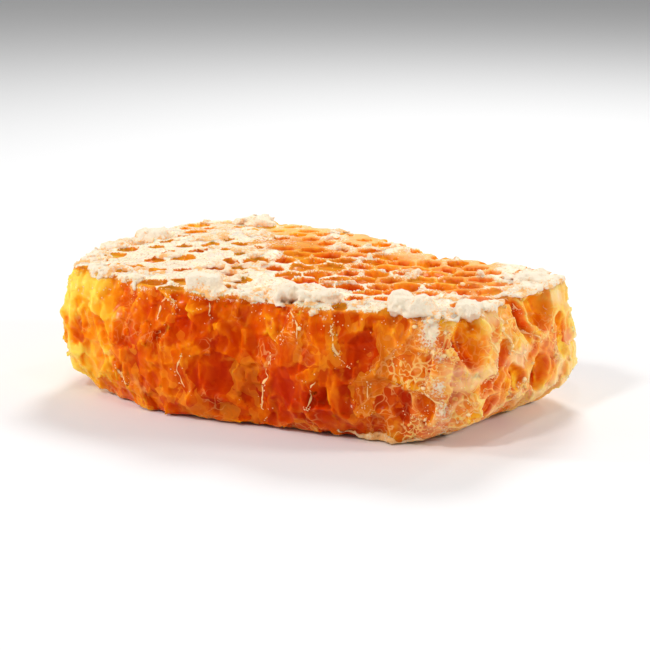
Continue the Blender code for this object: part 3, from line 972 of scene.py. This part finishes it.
wax_finish = finish(
    "capping wax",
    Subsurface_Weight=0.15,
    Subsurface_Radius=(1.0, 0.8, 0.6),
    Subsurface_Scale=0.0008,
    Roughness=0.55,
    Specular_IOR_Level=0.3,
)
crust_points, crust_faces = surface_net(crust_field)
sunk_in = sample(comb_field, crust_points) < -0.15
crust_points, crust_faces = kept_parts(crust_points, crust_faces, sunk_in)
crust = mesh_piece("capping_crust", crust_points, crust_faces, wax_finish)
thin_out(crust, FACE_LIMIT)
crust_points = points_of(crust)
at = x, y, z = crust_points.T.copy()
side = sample(side_grid, crust_points).astype(np.float32)
cover, soaked = crust_cover(x, y, z, side)
above_comb = sample(comb_field, crust_points)
lump_height = ease(0.9, 1.8, above_comb)
thin = 0.22 * ease(0.55, 0.0, above_comb) * (1.0 - lump_height)
thin = thin + 0.34 + 0.1 * soaked + 0.18 * cloud(at, 1.6, 58)
paint(crust, "thin", np.clip(thin, 0.0, 1.0))
paint(crust, "soaked", soaked * (1.0 - lump_height))

WHITE_WAX = (0.95, 0.81, 0.62, 1.0)
SOAKED_WAX = (1.0, 0.66, 0.27, 1.0)
HONEY_SPECK = (1.0, 0.52, 0.18, 1.0)
tree = wax_finish.node_tree
inputs = tree.nodes["Principled BSDF"].inputs
tinted = add_mix(tree, painted(tree, "soaked"), WHITE_WAX, SOAKED_WAX)
speck_mask = add_effect(tree, grains, painted(tree, "thin"))
feed(tree, add_mix(tree, speck_mask, tinted, HONEY_SPECK), inputs["Base Color"])
grain = add_node(tree, "TexNoise", Vector=object_places(tree), Scale=3000.0, Detail=3.0)
bump = add_node(tree, "Bump", Strength=1.0, Distance=0.0003, Height=grain.outputs["Fac"])
feed(tree, bump.outputs["Normal"], inputs["Normal"])

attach(crust, "root")
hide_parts(*[f"wax_lump_{number}" for number in range(1, len(LUMP_FORMS) + 1)])


# ---- Shreds and crumbs: torn wax left by the knife ----
# The blade pulls cell walls out into thin peach-coloured threads, and leaves grains and small
# flakes of wax strung along them. They stick to the wet honey of the cut sides.

# Each shred's half width, then its route over the sides.
SHREDS = [
    (0.18, (-15.4, -29.8, 22.8), (-16.1, -30.5, 19.0), (-15.6, -30.6, 16.8)),
    (0.15, (-15.2, -29.8, 22.6), (-13.0, -30.4, 21.6), (-12.0, -30.6, 20.4)),
    (0.4, (-26.0, -28.0, 8.6), (-26.3, -27.9, 6.4), (-24.4, -28.3, 4.6)),
    (0.24, (6.4, -30.5, 13.2), (5.0, -29.8, 8.2), (3.7, -29.0, 4.6), (4.2, -29.0, 3.2)),
    (0.26, (11.0, -29.8, 22.8), (12.2, -31.0, 20.6), (12.3, -31.3, 17.6)),
    (0.16, (16.0, -32.0, 11.4), (14.8, -32.0, 7.8), (13.8, -31.8, 5.0)),
    (0.14, (-10.0, -31.6, 12.6), (-11.0, -31.5, 8.6), (-9.8, -31.5, 6.0)),
    (0.12, (9.8, -30.3, 19.6), (9.6, -30.9, 16.0)),
    (0.16, (18.4, -31.5, 20.4), (20.0, -31.3, 17.0), (22.2, -31.0, 13.8)),
    (0.14, (25.2, -30.0, 11.2), (25.5, -29.9, 8.6), (24.6, -30.0, 6.8)),
    (0.18, (34.6, -28.5, 11.2), (36.4, -28.2, 9.6), (39.0, -27.6, 7.4)),
    (0.14, (-5.0, -31.4, 21.8), (-5.4, -31.5, 19.8)),
    (0.26, (44.9, -6.6, 22.8), (45.6, -3.4, 18.6), (46.3, 0.2, 15.4)),
    (0.16, (44.6, -8.4, 20.6), (45.6, -4.4, 17.0), (46.2, -0.6, 14.2)),
    (0.34, (43.7, -16.2, 22.0), (44.3, -13.2, 18.6), (44.6, -11.8, 15.2)),
    (0.26, (44.6, -12.8, 15.2), (45.4, -8.2, 13.6), (46.0, -4.6, 11.6)),
    (0.3, (43.6, -20.4, 20.0), (44.2, -18.2, 15.8), (44.0, -19.8, 11.0)),
    (0.24, (45.8, -6.5, 9.0), (45.2, -10.5, 6.5), (44.4, -14.5, 5.2)),
    (0.24, (46.6, 3.0, 20.5), (47.2, 4.5, 15.0), (46.6, 3.5, 9.5)),
    (0.18, (-43.5, -12.0, 19.0), (-44.2, -9.0, 14.0), (-43.6, -11.0, 9.0)),
    (0.18, (-45.4, 4.0, 20.0), (-45.6, 5.5, 13.0), (-44.6, 3.0, 7.0)),
    (0.18, (-26.0, 33.0, 20.0), (-25.0, 33.2, 13.0), (-26.0, 32.0, 8.0)),
    (0.18, (-4.0, 30.0, 19.0), (-3.0, 30.0, 12.0), (-5.0, 29.8, 7.0)),
    (0.18, (12.0, 23.5, 18.0), (13.5, 23.0, 11.0)),
    (0.18, (30.0, 20.0, 20.0), (31.0, 20.0, 13.0), (29.5, 19.5, 7.0)),
]
SHRED_THICKNESS = 0.11
SHRED_STEP = 0.3
SHRED_SIDES = 6
GRAIN_COUNT = 2600
GRAIN_RADIUS = (0.06, 0.16)
FLAKE_COUNT = 60
FLAKE_RADIUS = (0.3, 0.7)


def along_route(route, step):
    """Points at even steps along a smooth curve through the route's points."""
    route = np.array(route, float)
    ends = np.concatenate([[2 * route[0] - route[1]], route, [2 * route[-1] - route[-2]]])
    places = []
    for k in range(len(route) - 1):
        count = max(2, int(np.linalg.norm(route[k + 1] - route[k]) / step))
        places += [curve(*ends[k : k + 4], share) for share in np.arange(count) / count]
    return np.array(places + [route[-1]])


def slope_of(field, points):
    """The direction in which the field rises fastest at each point."""
    rise = [
        sample(field, points + nudge) - sample(field, points - nudge) for nudge in np.eye(3) * 0.6
    ]
    rise = np.stack(rise, axis=1)
    return rise / np.linalg.norm(rise, axis=1)[:, None].clip(1e-6)


def press_on(points):
    """Move the points in or out of the side until they lie on the comb's skin."""
    flat = slope_of(side_grid, points) * [1.0, 1.0, 0.0]
    outwards = flat / np.linalg.norm(flat, axis=1)[:, None].clip(1e-6)
    placed = points - 4.0 * outwards
    found = np.zeros(len(points), bool)
    for way_out in np.arange(2.0, -4.0, -0.1):
        here = points + outwards * way_out
        hit = ~found & (sample(comb_field, here) < 0.0)
        placed[hit] = here[hit]
        found |= hit
    return placed[found], outwards[found]


random = np.random.default_rng(61)
shred_points, shred_faces, shred_start = [], [], 0
strung = []
for half_width, *route in SHREDS:
    course = along_route(route, SHRED_STEP)
    wander = np.stack([cloud(course.T, 1.6, seed) for seed in (62, 63, 64)], axis=1)
    course, outwards = press_on(course + 0.9 * wander)
    for _ in range(3):
        course[1:-1] = 0.5 * course[1:-1] + 0.25 * (course[:-2] + course[2:])
    course = course + outwards * 0.3 * SHRED_THICKNESS
    strung.append(course)
    forward = np.gradient(course, axis=0)
    forward /= np.linalg.norm(forward, axis=1)[:, None]
    across = np.cross(forward, outwards)
    across /= np.linalg.norm(across, axis=1)[:, None]
    raised = np.cross(across, forward)
    taper = np.sqrt(np.clip(np.sin(np.linspace(0.06, math.pi - 0.06, len(course))), 0.02, 1.0))
    swing = np.clip(0.85 + 1.1 * cloud(course.T, 0.9, 65), 0.05, 1.6)
    for side_number in range(SHRED_SIDES):
        turn = 2 * math.pi * side_number / SHRED_SIDES
        shred_points.append(
            course
            + across * (half_width * math.cos(turn) * taper * swing)[:, None]
            + raised * (SHRED_THICKNESS * math.sin(turn) * taper * swing)[:, None]
        )
        along = shred_start + np.arange(len(course) - 1)
        row = along + side_number * len(course)
        following = along + (side_number + 1) % SHRED_SIDES * len(course)
        shred_faces.append(np.stack([row, row + 1, following + 1, following], axis=1))
    shred_start += SHRED_SIDES * len(course)

shred_finish = finish("wax shreds", Base_Color=(1.0, 0.64, 0.26, 1.0), Roughness=0.18)
shreds = mesh_piece(
    "wax_shreds", np.concatenate(shred_points), np.concatenate(shred_faces), shred_finish
)
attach(shreds, "root")
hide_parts("comb")

# Grains gather along the shreds, under the top edge and round the near corner.
strung = np.concatenate(strung)
at = x, y, z = comb_points.T.copy()
on_side = ease(1.6, 3.0, top_height(x, y) - z) * (z > 1.2)
near_shred = np.full(len(comb_points), 99.0, np.float32)
for place in strung[::2]:
    near_shred = np.minimum(near_shred, np.sum((comb_points - place) ** 2, axis=1))
near_shred = np.sqrt(near_shred)
chance = 0.0012 + 1.8 * ease(0.8, 0.15, near_shred) + 0.08 * ease(3.0, 1.0, near_shred)
chance += 0.45 * ease(5.0, 2.0, THICKNESS - z) * (y < -10)
chance += 0.35 * np.exp(-((across_corner(x, y, z) / 5.0) ** 2)) * (y < 0)
chance = chance * on_side * ease(-0.3, 0.4, cloud(at, 1.8, 66))
chance += 0.04 * (1.0 - on_side) * (z > THICKNESS - 2.0)
chosen = random.choice(len(comb_points), GRAIN_COUNT, p=(chance / chance.sum()).astype(float))
flake_chance = chance * (0.15 + ease(*RIGHT_END, x))
flaked = random.choice(
    len(comb_points), FLAKE_COUNT, p=(flake_chance / flake_chance.sum()).astype(float)
)

# A rough ball of 12 points and 20 faces, which each grain squeezes in its own way.
golden = (1.0 + math.sqrt(5.0)) / 2.0
signs = list(product((-1, 1), repeat=2))
ball = [(0, s, t * golden) for s, t in signs] + [(s, t * golden, 0) for s, t in signs]
ball = np.array(ball + [(s * golden, 0, t) for s, t in signs]) / math.hypot(1.0, golden)
corners = np.array(list(combinations(range(12), 3)))
a, b, c = ball[corners].transpose(1, 0, 2)
facing_in = (np.cross(b - a, c - a) * a).sum(axis=1) < 0
corners[facing_in] = corners[facing_in][:, [0, 2, 1]]
ball_faces = corners[np.linalg.norm([a - b, b - c, a - c], axis=2).max(axis=0) < 1.1]
outward = slope_of(comb_field, comb_points)
grain_points, grain_faces = [], []
for kind, picks, (smallest, largest) in (
    ("grain", chosen, GRAIN_RADIUS),
    ("flake", flaked, FLAKE_RADIUS),
):
    for pick in picks:
        radius = random.uniform(smallest, largest)
        shape = ball * random.uniform(0.7, 1.25, (12, 1)) * radius
        if kind == "flake":
            normal = outward[pick]
            shape = shape * random.uniform(0.5, 1.0, 3)
            shape = shape - np.outer(shape @ normal, normal) * 0.75
        grain_faces.append(ball_faces + 12 * len(grain_points))
        grain_points.append(shape + comb_points[pick] + outward[pick] * 0.2 * smallest)
crumb_finish = finish("wax crumbs", Base_Color=(1.0, 0.7, 0.34, 1.0), Roughness=0.3)
crumbs = mesh_piece(
    "wax_crumbs", np.concatenate(grain_points), np.concatenate(grain_faces), crumb_finish
)
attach(crumbs, "root")
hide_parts("comb")
